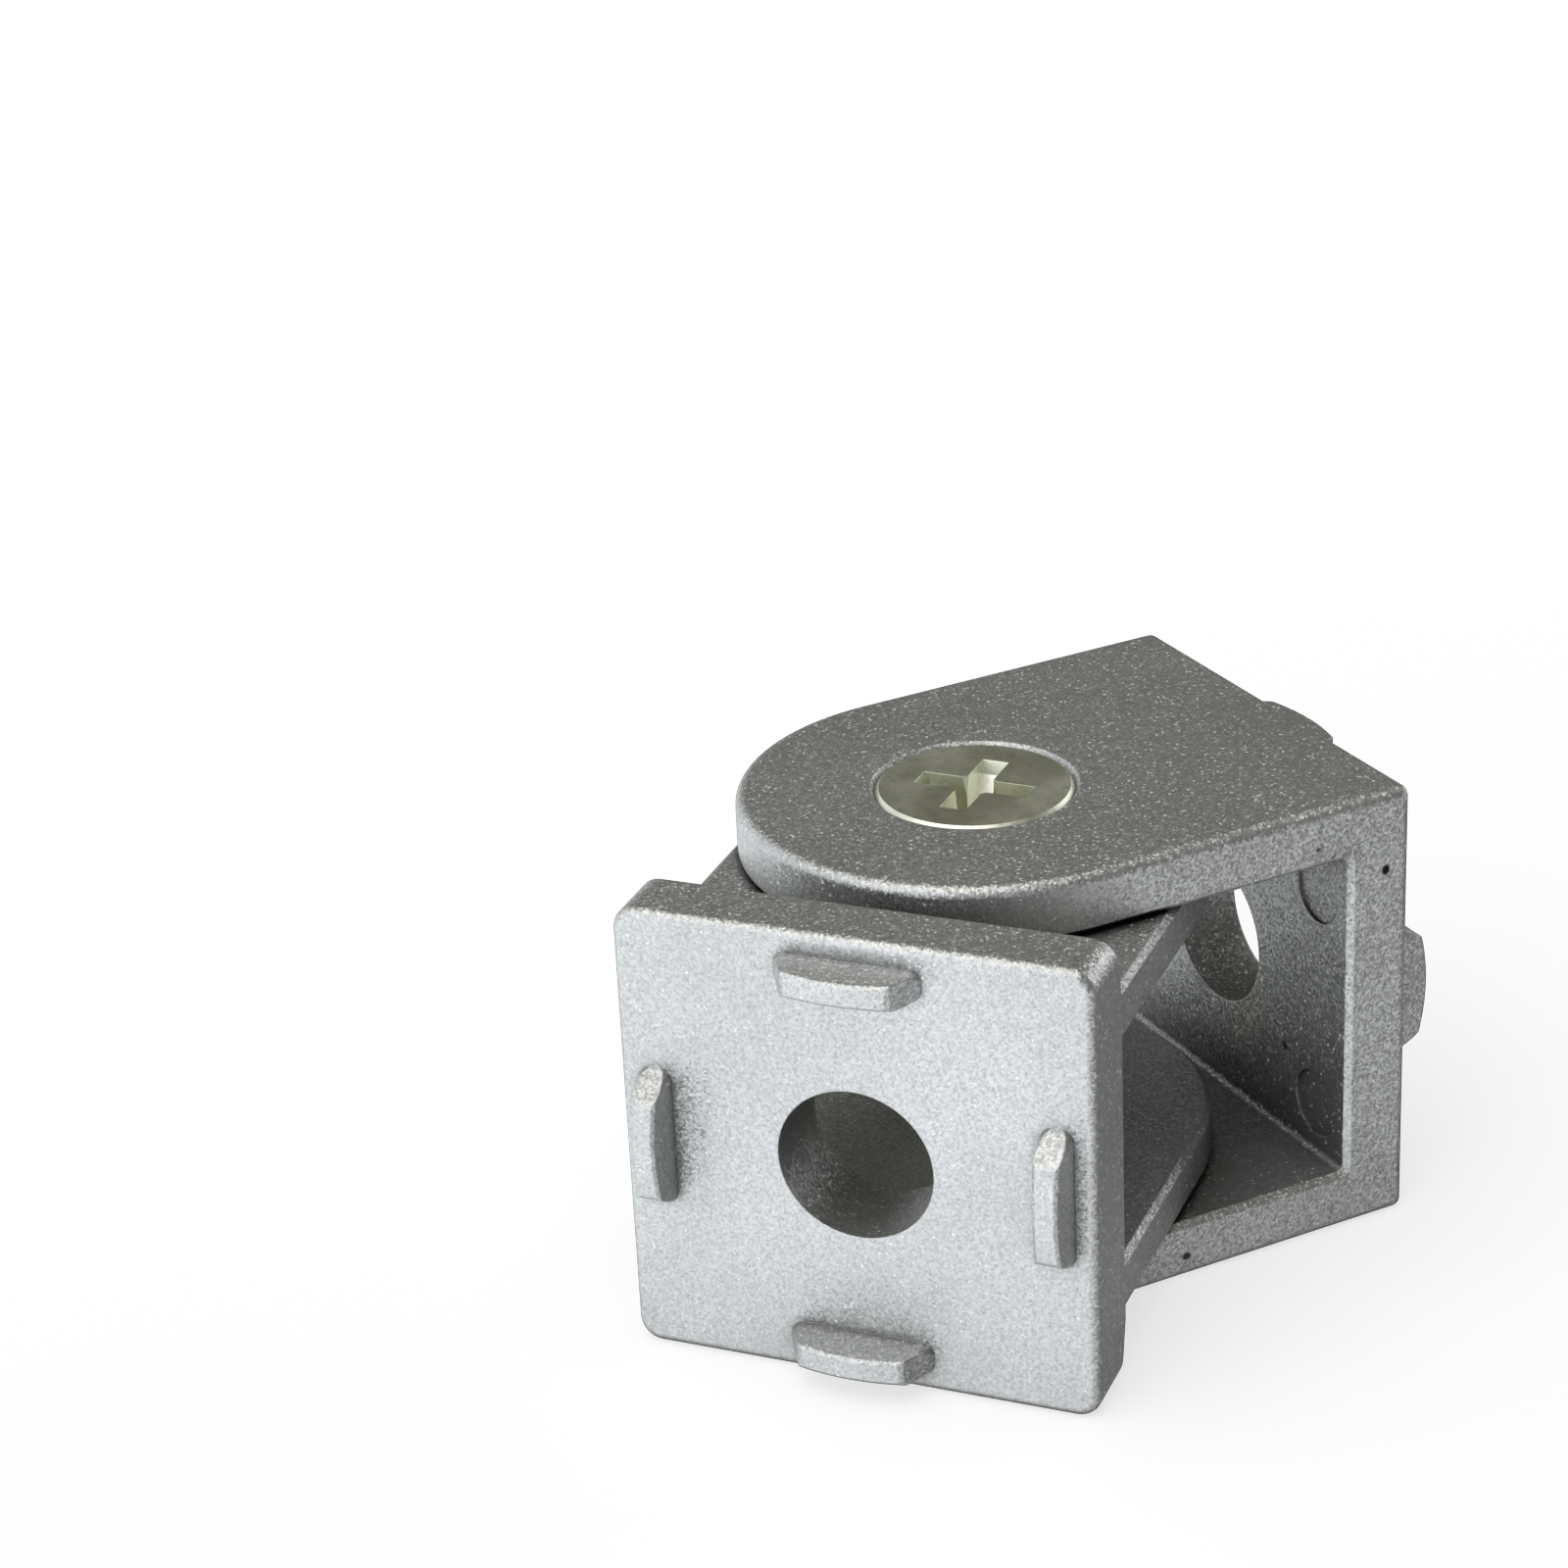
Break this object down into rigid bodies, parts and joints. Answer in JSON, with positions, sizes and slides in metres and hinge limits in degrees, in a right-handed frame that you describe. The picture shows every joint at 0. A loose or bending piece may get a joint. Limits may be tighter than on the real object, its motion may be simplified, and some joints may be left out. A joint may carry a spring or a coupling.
{
  "type": "profile pivot joint",
  "caption": "Two nesting die-cast clevises with lugged square end plates, pivoting on a countersunk screw, to join two slotted profiles at an adjustable angle.",
  "frame": {"origin": "centre of the outer clevis's end plate, on its outer face, where its end-bolt hole opens", "axes": "+X is that plate's outward normal, +Z runs along the pivot axis towards the screw head"},
  "size_m": [0.0353, 0.0277, 0.02],
  "materials": {
    "outer_casting": "silver sparkle coat on zinc casting, slightly grainy",
    "inner_casting": "silver sparkle coat on zinc casting, slightly grainy",
    "screw_steel": "zinc plated, satin",
    "nut_steel": "zinc plated, satin"
  },
  "bodies": {
    "outer_half": {"outer_clevis": "outer_casting", "pivot_screw": "screw_steel", "sleeve_nut": "nut_steel"},
    "inner_half": {"inner_clevis": "inner_casting"}
  },
  "joints": [
    {"name": "pivot", "type": "hinge", "parent": "outer_half", "child": "inner_half", "pos_m": [-0.015, 0, 0], "axis": [0, 0, 1], "range_deg": [-138.9, 57.1]}
  ]
}
